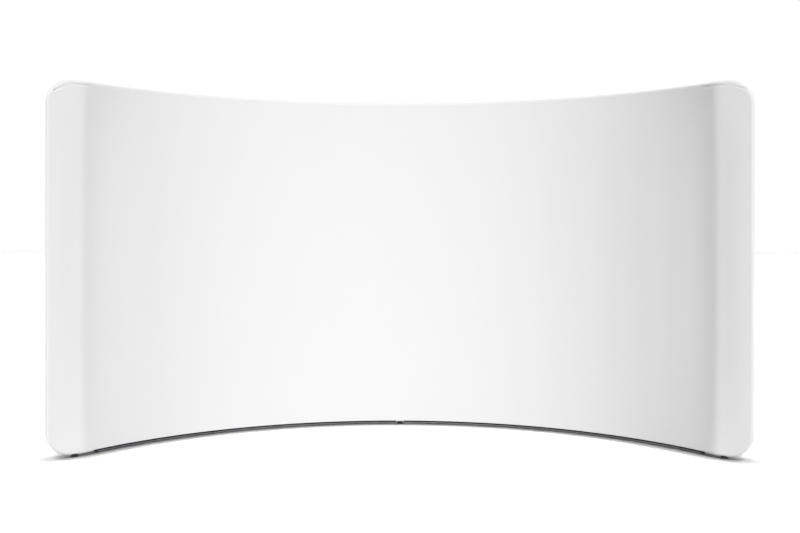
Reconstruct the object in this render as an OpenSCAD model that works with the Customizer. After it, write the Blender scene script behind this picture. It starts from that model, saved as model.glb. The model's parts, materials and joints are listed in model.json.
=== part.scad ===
// Curved display backwall: a one-piece stretch fabric cover pulled over a frame
// of aluminium tubes. The wall stands on three low feet and is closed underneath
// by two zips. Millimetres, +Z up, the hollow side faces -Y, and the origin is on
// the floor in the middle of the wall's outline.

/* [Wall] */
// Overall height, from the floor to the top of the fabric
wall_h = 2300; // [2000:10:2600]
// Radius of the main curve, on the middle line of the tubes
arc_r = 2300; // [2100:10:2800]
// Half of the angle that the main curve turns through
arc_half = 57; // [44:1:58]
// Radius of the reverse bend at each end
bend_r = 120; // [100:10:300]
// Angle between each end strip and the front of the wall
end_angle = 33; // [10:1:38]
// Length of each end strip, from the bend to the middle line of its upright
strip_l = 178; // [176:1:400]
// Radius of the four rounded corners, on the middle line of the tubes
corner_r = 134; // [100:1:150]

/* [Tubes] */
// Outer diameter of the frame tubes
tube_d = 32; // [28:1:38]
// Wall thickness of the frame tubes
tube_wall = 1.5; // [1.2:0.1:2.5]
// How far each joining sleeve reaches into the tubes on both sides of a joint
sleeve_reach = 60; // [50:1:80]
// Wall thickness of the joining sleeves
sleeve_wall = 1.3; // [1:0.1:2]
// Gap between a joining sleeve and the tubes around it
sleeve_gap = 0.2; // [0.1:0.05:0.4]
// Room left beyond the end of a sleeve before a bend or a rail
socket_room = 5; // [3:1:12]

/* [Snap buttons] */
// Diameter of the buttons that lock the tubes together
button_d = 8; // [6:0.5:10]
// How far a button stands out of its tube
button_out = 3; // [2:0.5:4]
// Distance from a button to the joint that it locks
button_at = 30; // [20:1:40]
// Gap around a button in its holes
button_gap = 0.2; // [0.1:0.05:0.4]
// Width of the folded steel spring behind each button
spring_w = 6; // [4:0.5:7]
// Thickness of that spring's steel
spring_t = 0.8; // [0.6:0.1:1]

/* [Cover] */
// Thickness of the stretch fabric
fabric_t = 1.2; // [0.8:0.1:2]
// Gap between the fabric and the tubes
fabric_gap = 0.4; // [0.3:0.1:0.8]

/* [Zips] */
// Angle round the bottom rail where the fabric ends and the zip tape takes over
zip_slot_half = 56; // [50:1:62]
// Angle round the bottom rail that each zip tape reaches
tape_half = 66; // [64:1:72]
// Thickness of the zip tape
tape_t = 0.8; // [0.5:0.1:1]
// Half of the angle that the row of closed teeth takes
teeth_half = 10; // [8:1:12]
// Height of the closed teeth
teeth_h = 2.2; // [1.8:0.1:2.4]
// How far the teeth reach in behind the tape
teeth_in = 0.2; // [0.1:0.05:0.3]
// Length of each metal stop at the ends of the teeth
stop_l = 5; // [4:0.5:8]
// Distance from the middle foot to the zips on both sides of it
zip_foot_gap = 14; // [12:1:40]
// Distance from each zip to the end of the main curve
zip_end_gap = 60; // [50:1:120]
// How far the tape runs on past its teeth
tape_tail = 8; // [4:1:10]
// Length of a zip slider
slider_l = 22; // [18:1:30]
// Wall thickness of a zip slider
slider_t = 1.5; // [1.2:0.1:1.8]
// Running gap between a slider and the zip
slider_gap = 0.4; // [0.3:0.1:0.5]
// Distance between a parked slider and the stop at the outer end
slider_park = 2; // [1:0.5:10]
// Length of a pull tab, from its pin
pull_l = 20; // [16:1:22]
// Width of a pull tab
pull_w = 7; // [6:0.5:9]
// Thickness of a pull tab
pull_t = 1.4; // [1:0.1:1.6]
// Angle that a resting pull tab hangs down
pull_drop = 15; // [5:1:15]

/* [Feet] */
// Height of the bottom rail's middle line above the floor
rail_z = 30; // [29:1:40]
// Diameter of the feet
foot_d = 40; // [36:1:60]
// Height of the feet above their soles
foot_h = 16; // [14:0.5:18]
// Thickness of the rubber sole under each foot
sole_t = 3; // [2:0.5:5]
// Diameter of the foot screws
screw_d = 6; // [5:0.5:6]
// Height of the screw heads
screw_head_h = 3.6; // [3:0.2:4]

/* [Hidden] */

// Smoothness of small round shapes and of the long curves in plan
$fn = 48;
sweep_fn = 240;

// Tubes
tube_r = tube_d / 2;
tube_ri = tube_r - tube_wall;
sleeve_r = tube_ri - sleeve_gap;
sleeve_ri = sleeve_r - sleeve_wall;
leg_l = sleeve_reach + socket_room;
stub_l = tube_r + sleeve_reach + socket_room;
weld_gap = 0.05;

// How far a cutting shape reaches past the face that it cuts
cut_over = 1;

// Cover
cover_ri = tube_r + fabric_gap;
cover_ro = cover_ri + fabric_t;

// Heights of the two rails' middle lines and of the joint half way up
top_z = wall_h - cover_ro;
mid_z = (rail_z + top_z) / 2;
end_foot_z = rail_z + corner_r + leg_l;
end_head_z = top_z - corner_r - leg_l;
inner_foot_z = rail_z + stub_l;
inner_head_z = top_z - stub_l;
end_joint_z = [end_foot_z, mid_z, end_head_z];
inner_joint_z = [inner_foot_z, mid_z, inner_head_z];

// Plan of the wall, with the middle of the main curve at y = back_y
rail_end = arc_half - arc_angle(leg_l);
section_angle = 2 * rail_end / 3;
bend_turn = arc_half - end_angle;
// Room where a tube or a panel changes from one curve to the next
hairline = 0.02;
hairline_turn = hairline / bend_r * 180 / PI;
bend_x = (arc_r + bend_r) * sin(arc_half);
bend_dy = (arc_r + bend_r) * cos(arc_half) - arc_r;
strip_x = bend_x - bend_r * sin(end_angle);
strip_dy = bend_dy - bend_r * cos(end_angle);
corner_x = strip_l - corner_r;
end_dy = strip_dy - strip_l * sin(end_angle);
front_dy = end_dy - cover_ro;
back_reach = max(cover_ro, foot_d / 2);
back_y = -(front_dy + back_reach) / 2;
arc_y = back_y - arc_r;

// The joints along a rail, from left to right, and the side that each button is on
rail_joint_angle = [-rail_end, -section_angle / 2, section_angle / 2, rail_end];
rail_joint_way = [1, -1, 1, -1];

// Turns a length along the main curve into an angle
function arc_angle(length) = length / arc_r * 180 / PI;
sleeve_turn = arc_angle(sleeve_reach);
button_turn = arc_angle(button_at);

// Snap buttons, measured from the middle line of their tube
button_r = button_d / 2;
button_hole_r = button_r + button_gap;
button_top = tube_r + button_out;
button_dome = 1.5;
spring_top_room = 1.6;
spring_base_room = 0.8;
spring_top = sleeve_ri - spring_top_room;
spring_base = sleeve_ri - spring_base_room;
spring_reach = 12;
spring_fold_gap = 0.5;

// Zips
zip_near = arc_angle(foot_d / 2 + zip_foot_gap);
zip_far = arc_half - arc_angle(zip_end_gap);
tail_turn = arc_angle(tape_tail);
stop_turn = arc_angle(stop_l);
slider_turn = arc_angle(slider_l);
teeth_ro = cover_ro - teeth_in + teeth_h;
slider_out_r = zip_far - stop_turn - arc_angle(slider_park);
slider_ri = teeth_ro + slider_gap;
slider_ro = slider_ri + slider_t;
slider_half = 20;
slider_lip_half = 14;
pin_r = 0.8;
pin_gap = 0.2;
ear_w = 1.6;
ear_l = 4.2;
ear_h = 3.4;
pin_below = 1.9;
pin_drop = slider_ro + pin_below;
pull_eye_r = 1.7;
pull_neck_w = 3.2;
pull_angle = slider_out_r - slider_turn / 2;

// Feet
foot_seat_gap = 0.1;
sole_inset = 1;
foot_x = corner_x / 2;
foot_top = sole_t + foot_h;
screw_r = screw_d / 2;
screw_gap = 0.3;
head_rim = 2.6;
head_r = screw_r + head_rim;
sole_relief = 0.4;
recess_h = screw_head_h + sole_relief;
nut_wall = 1.5;
nut_rim = 2;
nut_r = screw_r + nut_wall;
nut_gap = 0.1;
thread_gap = 0.05;
nut_l = 11;
nut_base = rail_z - tube_r;
nut_flange_z = rail_z - sqrt(pow(tube_ri, 2) - pow(nut_r + nut_rim, 2)) + nut_gap;
nut_flange_t = 1.6;
screw_proud = 3;
screw_top = nut_base + nut_l + screw_proud;

aluminium = [0.78, 0.79, 0.8];
steel = [0.6, 0.6, 0.62];
fabric_white = [0.97, 0.97, 0.97];
zip_black = [0.06, 0.06, 0.07];
foot_black = [0.1, 0.1, 0.1];

// ---- Placing: children are drawn as d (towards the back) and z ----

// Sweeps a d-z outline along the main curve between two angles
module along_arc(from, to) {
    translate([0, arc_y, 0])
        rotate([0, 0, 90 - to])
            rotate_extrude(angle = to - from, $fn = sweep_fn)
                translate([arc_r, 0])
                    children();
}

// Sweeps an outline round the right-hand reverse bend. It curves the other way,
// so here the outline's x points towards the front
module along_bend() {
    translate([bend_x, back_y + bend_dy, 0])
        rotate([0, 0, 270 - arc_half + hairline_turn])
            rotate_extrude(angle = bend_turn - 2 * hairline_turn, $fn = sweep_fn)
                translate([bend_r, 0])
                    children();
}

// Stands children in the right-hand end strip: x along it, y to the back
module in_strip() {
    translate([strip_x, back_y + strip_dy, 0])
        rotate([0, 0, -end_angle])
            children();
}

// Sweeps a d-z outline along the end strip between two places
module along_strip(from, to) {
    in_strip()
        translate([from, 0, 0])
            rotate([90, 0, 90])
                linear_extrude(to - from)
                    children();
}

// Sweeps an outline round the upper corner; its y is the distance outwards
module round_corner() {
    in_strip()
        translate([corner_x, 0, top_z - corner_r])
            rotate([90, 0, 0])
                corner_sweep()
                    children();
}

// The same round the lower corner. It is turned, not mirrored, so here the
// outline's x points the other way
module round_low_corner() {
    in_strip()
        translate([corner_x, 0, rail_z + corner_r])
            rotate([-90, 0, 0])
                corner_sweep()
                    children();
}

// The outline is cut at the corner's own axis, which it may not cross
module corner_sweep() {
    reach = corner_r + cover_ro;
    rotate_extrude(angle = 90, $fn = sweep_fn)
        intersection() {
            translate([corner_r, 0])
                rotate([0, 0, -90])
                    children();
            translate([0, -reach])
                square([reach + cut_over, 2 * reach]);
        }
}

// Puts children at an angle on the main curve, x along it, y to the back
module on_arc(angle) {
    translate([0, arc_y, 0])
        rotate([0, 0, -angle])
            translate([0, arc_r, 0])
                children();
}

// Swaps the top and the bottom of the wall
module upside_down() {
    translate([0, 0, rail_z + top_z])
        mirror([0, 0, 1])
            children();
}

// Keeps the right-hand shape, or mirrors it to the left-hand end
module on_side(side) {
    mirror([side < 0 ? 1 : 0, 0, 0])
        children();
}

// ---- Outlines ----

module ring(outer, inner) {
    difference() {
        circle(r = outer);
        circle(r = inner);
    }
}

module tube_outline() {
    ring(tube_r, tube_ri);
}

module sleeve_outline() {
    ring(sleeve_r, sleeve_ri);
}

// A wedge round straight down, between two angles to the back of it
module wedge(from, to) {
    reach = 2 * cover_ro;
    middle = (from + to) / 2;
    polygon([
        [0, 0],
        reach * [sin(from), -cos(from)],
        reach * [sin(middle), -cos(middle)],
        reach * [sin(to), -cos(to)]
    ]);
}

// Part of a ring round the bottom rail
module rail_band(outer, inner, from, to) {
    translate([0, rail_z])
        intersection() {
            ring(outer, inner);
            wedge(from, to);
        }
}

// One panel from rail to rail: side -1 is the front, +1 the back
module panel_outline(side) {
    mirror([side > 0 ? 1 : 0, 0]) {
        translate([0, top_z])
            quarter_rim();
        translate([0, rail_z])
            mirror([0, 1])
                quarter_rim();
        translate([-cover_ro, rail_z])
            square([fabric_t, top_z - rail_z]);
    }
}

// The front quarter of the fabric that wraps a tube
module quarter_rim() {
    intersection() {
        ring(cover_ro, cover_ri);
        translate([-cover_ro, 0])
            square(cover_ro);
    }
}

// A panel's rim round a corner, with the flat fabric inside it
module rim_outline(side) {
    mirror([side > 0 ? 1 : 0, 0]) {
        quarter_rim();
        translate([-cover_ro, -corner_r])
            square([fabric_t, corner_r]);
    }
}

// ---- Tubes ----

// A hole for a snap button, pointing along local +Z from the tube's middle line
module button_hole() {
    cylinder(h = tube_r + cut_over, r = button_hole_r);
}

// Short socket welded on the underside of a top rail, for an inner upright
module tee_stub(angle) {
    difference() {
        on_arc(angle)
            translate([0, 0, top_z - stub_l])
                linear_extrude(stub_l)
                    tube_outline();
        along_arc(angle - sleeve_turn, angle + sleeve_turn)
            translate([0, top_z])
                circle(r = tube_r + weld_gap);
        on_arc(angle)
            translate([0, 0, top_z - stub_l + button_at])
                rotate([0, 90, 0])
                    button_hole();
    }
}

// A top rail: number -1 is the left one, 0 the middle one and 1 the right one.
// Only the outer rails have button holes: the sleeves in them carry the buttons
module rail_tube(number) {
    middle = number * section_angle;
    from = middle - section_angle / 2;
    to = middle + section_angle / 2;
    difference() {
        along_arc(from, to)
            translate([0, top_z])
                tube_outline();
        if (number != 0)
            for (angle = [from + button_turn, to - button_turn])
                on_arc(angle)
                    translate([0, 0, top_z])
                        rotate([180, 0, 0])
                            button_hole();
    }
}

// Upper right corner: a last bit of the main curve, the reverse bend, a straight
// stretch, the rounded corner and a leg that takes the end upright
module top_corner() {
    along_arc(rail_end, arc_half)
        translate([0, top_z])
            tube_outline();
    along_bend()
        translate([0, top_z])
            tube_outline();
    difference() {
        corner_tube();
        in_strip()
            translate([strip_l, 0, top_z - corner_r - leg_l + button_at])
                rotate([0, -90, 0])
                    button_hole();
    }
}

module corner_tube() {
    along_strip(0, corner_x)
        translate([0, top_z])
            tube_outline();
    round_corner()
        tube_outline();
    in_strip()
        translate([strip_l, 0, top_z - corner_r - leg_l])
            linear_extrude(leg_l)
                tube_outline();
}

// ---- Snap buttons: drawn on their tube's middle line, pointing along +Z ----

module snap_button() {
    color(steel) {
        translate([0, 0, spring_top])
            cylinder(h = button_top - button_dome - spring_top, r = button_r);
        translate([0, 0, button_top - button_dome])
            intersection() {
                cylinder(h = button_dome, r = button_r);
                translate([0, 0, -button_r])
                    sphere(r = button_r + button_dome);
            }
        translate([-spring_reach, -spring_w / 2, spring_top - spring_t])
            cube([spring_reach + button_r, spring_w, spring_t]);
    }
}

// The folded spring behind a button: its resting leg and the bow
module button_spring() {
    bow_r = (spring_top + spring_base) / 2;
    color(steel) {
        translate([-spring_reach, -spring_w / 2, -spring_base])
            cube([2 * spring_reach, spring_w, spring_t]);
        translate([-spring_reach - spring_fold_gap, 0, spring_top - bow_r])
            rotate([90, 0, 0])
                translate([0, 0, -spring_w / 2])
                    linear_extrude(spring_w)
                        bow_outline(bow_r);
    }
}

module bow_outline(bow_r) {
    intersection() {
        ring(bow_r, bow_r - spring_t);
        translate([-bow_r, -bow_r])
            square([bow_r, 2 * bow_r]);
    }
    translate([0, -bow_r])
        square([spring_fold_gap, spring_t]);
}

module at_rail_joint(number, top) {
    way = rail_joint_way[number];
    on_arc(rail_joint_angle[number] + way * button_turn)
        translate([0, 0, top ? top_z : rail_z])
            rotate([top ? 180 : 0, 0, 0])
                mirror([way > 0 ? 0 : 1, 0, 0])
                    children();
}

// Height of the button in an upright's joint: 0 low, 1 half way, 2 top
function button_z(joints, level) = joints[level] + (level == 0 ? -1 : 1) * button_at;

module at_end_joint(side, level) {
    on_side(side)
        in_strip()
            translate([strip_l, 0, button_z(end_joint_z, level)])
                rotate([0, -90, 0])
                    mirror([level == 0 ? 1 : 0, 0, 0])
                        children();
}

module at_upright_joint(place, level) {
    on_arc(place * section_angle)
        translate([0, 0, button_z(inner_joint_z, level)])
            rotate([0, 90, 0])
                mirror([level == 0 ? 0 : 1, 0, 0])
                    children();
}

module rail_button(number, top) {
    at_rail_joint(number, top)
        snap_button();
}

module end_button(side, level) {
    at_end_joint(side, level)
        snap_button();
}

module upright_button(place, level) {
    at_upright_joint(place, level)
        snap_button();
}

module button_springs() {
    for (number = [0 : 3]) {
        at_rail_joint(number, true)
            button_spring();
        at_rail_joint(number, false)
            button_spring();
    }
    for (level = [0 : 2]) {
        for (side = [-1, 1])
            at_end_joint(side, level)
                button_spring();
        for (place = [-1 : 1])
            at_upright_joint(place, level)
                button_spring();
    }
}

// ---- Frame ----

module rail_top(number) {
    color(aluminium) {
        rail_tube(number);
        tee_stub(number * section_angle);
    }
}

module rail_bottom(number) {
    color(aluminium) {
        difference() {
            upside_down()
                rail_tube(number);
            if (number == 0)
                at_middle_foot()
                    foot_hole();
        }
        upside_down()
            tee_stub(number * section_angle);
    }
}

module corner_top(side) {
    color(aluminium)
        on_side(side)
            top_corner();
}

module corner_bottom(side) {
    color(aluminium)
        on_side(side)
            difference() {
                upside_down()
                    top_corner();
                at_end_foot()
                    foot_hole();
            }
}

// A straight tube, with button holes at some heights
module upright_tube(from, to, holes) {
    difference() {
        translate([0, 0, from])
            linear_extrude(to - from)
                tube_outline();
        for (z = holes)
            translate([0, 0, z])
                rotate([0, 90, 0])
                    button_hole();
    }
}

module end_upright_lower(side) {
    color(aluminium)
        on_side(side)
            in_strip()
                translate([strip_l, 0, 0])
                    upright_tube(end_foot_z, mid_z, []);
}

module end_upright_upper(side) {
    color(aluminium)
        on_side(side)
            in_strip()
                translate([strip_l, 0, 0])
                    mirror([1, 0, 0])
                        upright_tube(mid_z, end_head_z, [mid_z + button_at]);
}

module upright_lower(place) {
    color(aluminium)
        on_arc(place * section_angle)
            upright_tube(inner_foot_z, mid_z, []);
}

module upright_upper(place) {
    color(aluminium)
        on_arc(place * section_angle)
            upright_tube(mid_z, inner_head_z, [mid_z + button_at]);
}

// A sleeve that joins two rails, with its button's hole
module rail_sleeve(number, top) {
    angle = rail_joint_angle[number];
    difference() {
        along_arc(angle - sleeve_turn, angle + sleeve_turn)
            translate([0, top ? top_z : rail_z])
                sleeve_outline();
        at_rail_joint(number, top)
            button_hole();
    }
}

// A sleeve that joins two upright tubes, drawn on their middle line
module upright_sleeve(joint_z, hole_z) {
    difference() {
        translate([0, 0, joint_z - sleeve_reach])
            linear_extrude(2 * sleeve_reach)
                sleeve_outline();
        translate([0, 0, hole_z])
            rotate([0, 90, 0])
                button_hole();
    }
}

module joining_sleeves() {
    color(aluminium) {
        for (number = [0 : 3]) {
            rail_sleeve(number, true);
            rail_sleeve(number, false);
        }
        for (level = [0 : 2]) {
            for (side = [-1, 1])
                on_side(side)
                    in_strip()
                        translate([strip_l, 0, 0])
                            mirror([1, 0, 0])
                                upright_sleeve(end_joint_z[level], button_z(end_joint_z, level));
            for (place = [-1 : 1])
                on_arc(place * section_angle)
                    upright_sleeve(inner_joint_z[level], button_z(inner_joint_z, level));
        }
    }
}

// ---- Cover ----

// A panel's main curve, open underneath along both zips
module panel_curve(side) {
    difference() {
        along_arc(-arc_half, arc_half)
            panel_outline(side);
        for (end = [-1, 1])
            on_side(end)
                zip_slot();
        at_middle_foot()
            cover_hole();
    }
}

// Right-hand end of a panel: strip, rounded corners and side
module panel_end(side) {
    difference() {
        along_strip(0, corner_x)
            panel_outline(side);
        at_end_foot()
            cover_hole();
    }
    round_corner()
        rim_outline(side);
    round_low_corner()
        rim_outline(-side);
    in_strip()
        translate([strip_l, 0, rail_z + corner_r])
            linear_extrude(top_z - rail_z - 2 * corner_r)
                mirror([0, 1])
                    rotate([0, 0, -90])
                        rim_outline(side);
}

// The opening along the underside that a zip closes
module zip_slot() {
    along_arc(zip_near, zip_far)
        rail_band(cover_ro + cut_over, tube_r, -zip_slot_half, zip_slot_half);
}

module cover_panel(side) {
    color(fabric_white) {
        panel_curve(side);
        for (end = [-1, 1])
            on_side(end) {
                along_bend()
                    panel_outline(-side);
                panel_end(side);
            }
    }
}

// The hole that a foot screw passes through in the fabric
module cover_hole() {
    translate([0, 0, rail_z - cover_ro - cut_over])
        cylinder(h = fabric_t + 2 * cut_over, r = screw_r + screw_gap);
}

// ---- Zips, drawn for the right-hand end ----

module zip_tape_pair() {
    for (edge = [0, 1])
        along_arc(zip_near - tail_turn, zip_far + tail_turn)
            mirror([edge, 0])
                rail_band(cover_ro + tape_t, cover_ro, teeth_half, tape_half);
}

module zip_tapes() {
    color(zip_black)
        for (end = [-1, 1])
            on_side(end)
                zip_tape_pair();
}

module zip_teeth() {
    color(zip_black)
        for (end = [-1, 1])
            on_side(end)
                along_arc(zip_near + stop_turn, zip_far - stop_turn)
                    rail_band(teeth_ro, cover_ro - teeth_in, -teeth_half, teeth_half);
}

// A metal stop, clamped over both tapes
module zip_stop(from) {
    along_arc(from, from + stop_turn) {
        rail_band(cover_ro + tape_t, cover_ro - teeth_in, -teeth_half, teeth_half);
        rail_band(teeth_ro, cover_ro + tape_t, -slider_lip_half, slider_lip_half);
    }
}

module zip_stops() {
    color(steel)
        for (end = [-1, 1])
            on_side(end) {
                zip_stop(zip_near);
                zip_stop(zip_far - stop_turn);
            }
}

module zip_slider(side) {
    lip_r = cover_ro + tape_t + slider_gap;
    color(zip_black)
        on_side(side) {
            along_arc(slider_out_r - slider_turn, slider_out_r) {
                rail_band(slider_ro, slider_ri, -slider_half, slider_half);
                rail_band(slider_ri, lip_r, slider_lip_half, slider_half);
                rail_band(slider_ri, lip_r, -slider_half, -slider_lip_half);
            }
            on_arc(pull_angle)
                translate([0, 0, rail_z])
                    slider_ears();
        }
}

// The two ears under a slider, with the pin that its pull tab turns on
module slider_ears() {
    inner = pull_neck_w / 2 + pin_gap;
    for (edge = [0, 1])
        mirror([0, edge, 0])
            translate([-ear_l / 2, inner, -slider_ro - ear_h])
                cube([ear_l, ear_w, ear_h + slider_t / 2]);
    translate([0, 0, -pin_drop])
        rotate([90, 0, 0])
            cylinder(h = 2 * inner + ear_w, r = pin_r, center = true);
}

module zip_pull(side) {
    color(zip_black)
        on_side(side)
            on_arc(pull_angle)
                translate([0, 0, rail_z - pin_drop])
                    rotate([0, -pull_drop, 0])
                        pull_tab();
}

// A pull tab that points to local -X from its pin
module pull_tab() {
    neck_l = 5;
    neck_root = 1;
    difference() {
        union() {
            rotate([90, 0, 0])
                cylinder(h = pull_neck_w, r = pull_eye_r, center = true);
            translate([-neck_l - neck_root, -pull_neck_w / 2, -pull_t / 2])
                cube([neck_l + neck_root, pull_neck_w, pull_t]);
            translate([0, 0, -pull_t / 2])
                linear_extrude(pull_t)
                    pull_outline(neck_l);
        }
        rotate([90, 0, 0])
            cylinder(h = pull_neck_w + cut_over, r = pin_r + pin_gap, center = true);
    }
}

module pull_outline(neck_l) {
    difference() {
        union() {
            translate([pull_w / 2 - pull_l, 0])
                circle(d = pull_w);
            translate([pull_w / 2 - pull_l, -pull_w / 2])
                square([pull_l - neck_l - pull_w / 2, pull_w]);
        }
        translate([pull_w / 2 - pull_l, 0])
            circle(d = pull_w / 2);
    }
}

// ---- Feet: children are drawn round the foot's own upright axis ----

module at_middle_foot() {
    on_arc(0)
        children();
}

module at_end_foot() {
    in_strip()
        translate([foot_x, 0, 0])
            children();
}

// The hole for a foot's nut in the underside of a rail
module foot_hole() {
    translate([0, 0, rail_z - tube_r - cut_over])
        cylinder(h = tube_r, r = nut_r + nut_gap);
}

// A foot before its saddle is cut: a puck with a recess for the screw's head
module foot_blank() {
    difference() {
        translate([0, 0, sole_t])
            cylinder(h = foot_top - sole_t, d = foot_d);
        translate([0, 0, sole_t - cut_over])
            cylinder(h = recess_h + cut_over, r = head_r + screw_gap);
        cylinder(h = foot_top, r = screw_r + screw_gap);
    }
}

module saddle_outline() {
    translate([0, rail_z])
        circle(r = cover_ro + foot_seat_gap);
}

module foot_middle() {
    color(foot_black)
        difference() {
            at_middle_foot()
                foot_blank();
            along_arc(-arc_angle(foot_d), arc_angle(foot_d))
                saddle_outline();
        }
}

module foot_end(side) {
    color(foot_black)
        on_side(side)
            difference() {
                at_end_foot()
                    foot_blank();
                along_strip(foot_x - foot_d, foot_x + foot_d)
                    saddle_outline();
            }
}

// Puts children at all three feet
module at_feet() {
    at_middle_foot()
        children();
    for (end = [-1, 1])
        on_side(end)
            at_end_foot()
                children();
}

module foot_soles() {
    color(foot_black)
        at_feet()
            cylinder(h = sole_t, r = foot_d / 2 - sole_inset);
}

module foot_screws() {
    head_z = sole_t + recess_h - screw_head_h;
    color(steel)
        at_feet() {
            translate([0, 0, head_z])
                cylinder(h = screw_head_h, r = head_r);
            translate([0, 0, head_z])
                cylinder(h = screw_top - head_z, r = screw_r);
        }
}

// Blind nuts pressed into the rails from below
module foot_nuts() {
    color(steel)
        at_feet()
            difference() {
                union() {
                    translate([0, 0, nut_base])
                        cylinder(h = nut_l, r = nut_r);
                    translate([0, 0, nut_flange_z])
                        cylinder(h = nut_flange_t, r = nut_r + nut_rim);
                }
                translate([0, 0, nut_base - cut_over])
                    cylinder(h = nut_l + 2 * cut_over, r = screw_r + thread_gap);
            }
}

rail_top(-1);  // rail_top_left
rail_top(0);  // rail_top_middle
rail_top(1);  // rail_top_right
rail_bottom(-1);  // rail_bottom_left
rail_bottom(0);  // rail_bottom_middle
rail_bottom(1);  // rail_bottom_right
corner_top(-1);  // corner_top_left
corner_top(1);  // corner_top_right
corner_bottom(-1);  // corner_bottom_left
corner_bottom(1);  // corner_bottom_right
end_upright_lower(-1);  // end_upright_left_lower
end_upright_upper(-1);  // end_upright_left_upper
end_upright_lower(1);  // end_upright_right_lower
end_upright_upper(1);  // end_upright_right_upper
upright_lower(-1);  // upright_left_lower
upright_upper(-1);  // upright_left_upper
upright_lower(0);  // upright_middle_lower
upright_upper(0);  // upright_middle_upper
upright_lower(1);  // upright_right_lower
upright_upper(1);  // upright_right_upper
rail_button(0, true);  // button_rail_top_1
rail_button(1, true);  // button_rail_top_2
rail_button(2, true);  // button_rail_top_3
rail_button(3, true);  // button_rail_top_4
rail_button(0, false);  // button_rail_bottom_1
rail_button(1, false);  // button_rail_bottom_2
rail_button(2, false);  // button_rail_bottom_3
rail_button(3, false);  // button_rail_bottom_4
end_button(-1, 0);  // button_end_left_low
end_button(-1, 1);  // button_end_left_mid
end_button(-1, 2);  // button_end_left_top
end_button(1, 0);  // button_end_right_low
end_button(1, 1);  // button_end_right_mid
end_button(1, 2);  // button_end_right_top
upright_button(-1, 0);  // button_left_low
upright_button(-1, 1);  // button_left_mid
upright_button(-1, 2);  // button_left_top
upright_button(0, 0);  // button_middle_low
upright_button(0, 1);  // button_middle_mid
upright_button(0, 2);  // button_middle_top
upright_button(1, 0);  // button_right_low
upright_button(1, 1);  // button_right_mid
upright_button(1, 2);  // button_right_top
joining_sleeves();
button_springs();
cover_panel(-1);  // cover_front
cover_panel(1);  // cover_back
zip_tapes();
zip_teeth();
zip_stops();
zip_slider(-1);  // zip_slider_left
zip_slider(1);  // zip_slider_right
zip_pull(-1);  // zip_pull_left
zip_pull(1);  // zip_pull_right
foot_end(-1);  // foot_left
foot_middle();
foot_end(1);  // foot_right
foot_soles();
foot_screws();
foot_nuts();
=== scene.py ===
"""Pop up display backwall: a white stretch cover over a curved tube frame.

The tubes, buttons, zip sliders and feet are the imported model's own pieces and
get their finishes here. The fabric panels, their seam, the zip tapes, the coils
and the stitching are made here, on the wall's own curve. Sizes are in metres.
"""

import json
import logging
import math
from dataclasses import dataclass, field
from enum import Enum
from itertools import product
from typing import Callable, Iterable, Iterator, Sequence

import bpy
from bpy.types import Material, MeshPolygon, Node, NodeSocket, NodeTree, Object
from mathutils import Matrix, Vector

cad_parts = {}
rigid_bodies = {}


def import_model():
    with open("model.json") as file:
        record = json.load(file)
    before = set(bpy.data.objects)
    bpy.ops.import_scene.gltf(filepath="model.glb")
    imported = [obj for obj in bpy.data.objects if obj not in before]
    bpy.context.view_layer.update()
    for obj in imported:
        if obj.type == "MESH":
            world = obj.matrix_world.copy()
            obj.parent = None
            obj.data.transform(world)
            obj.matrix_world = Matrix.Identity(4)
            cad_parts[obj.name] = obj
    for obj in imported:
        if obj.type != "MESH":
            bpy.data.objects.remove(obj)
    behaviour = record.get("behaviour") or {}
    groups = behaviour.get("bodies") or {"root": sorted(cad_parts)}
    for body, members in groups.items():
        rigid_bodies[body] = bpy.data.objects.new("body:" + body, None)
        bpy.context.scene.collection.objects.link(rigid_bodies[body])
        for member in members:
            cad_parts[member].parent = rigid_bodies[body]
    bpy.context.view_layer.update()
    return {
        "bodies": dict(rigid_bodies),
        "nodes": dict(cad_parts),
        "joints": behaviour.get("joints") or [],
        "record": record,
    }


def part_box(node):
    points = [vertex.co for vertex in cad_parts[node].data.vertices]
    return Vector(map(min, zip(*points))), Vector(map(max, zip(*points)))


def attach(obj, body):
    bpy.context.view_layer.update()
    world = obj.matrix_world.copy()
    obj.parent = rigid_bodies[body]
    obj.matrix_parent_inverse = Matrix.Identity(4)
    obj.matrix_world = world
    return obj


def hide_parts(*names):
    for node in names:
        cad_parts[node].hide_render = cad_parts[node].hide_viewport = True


LOG = logging.getLogger("backwall")
MM = 0.001
Pair = tuple[float, float]

# The tubes' outer radius, and that of the stretched fabric round them
TUBE_R = 16 * MM
FABRIC_R = 17.6 * MM

# Edges that turn by more than this stay sharp on the small repeated shapes
SHARP_EDGE = math.radians(40)

# UV map that holds a fabric piece's flat measures, in metres
FLAT_PATTERN = "flat_pattern"


class Side(Enum):
    """Which way a panel of the cover faces."""

    FRONT = -1
    BACK = 1


# ---- Small tools ----


def srgb(hex_colour: str) -> tuple[float, float, float, float]:
    """Turns an sRGB hex colour into a linear one.

    Args:
        hex_colour: Six hex digits, such as "f4f4f2".

    Returns:
        Linear red, green, blue and an alpha of 1.
    """
    channels = [int(hex_colour[i : i + 2], 16) / 255 for i in (0, 2, 4)]
    linear = [c / 12.92 if c <= 0.04045 else ((c + 0.055) / 1.055) ** 2.4 for c in channels]
    return (linear[0], linear[1], linear[2], 1.0)


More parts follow.
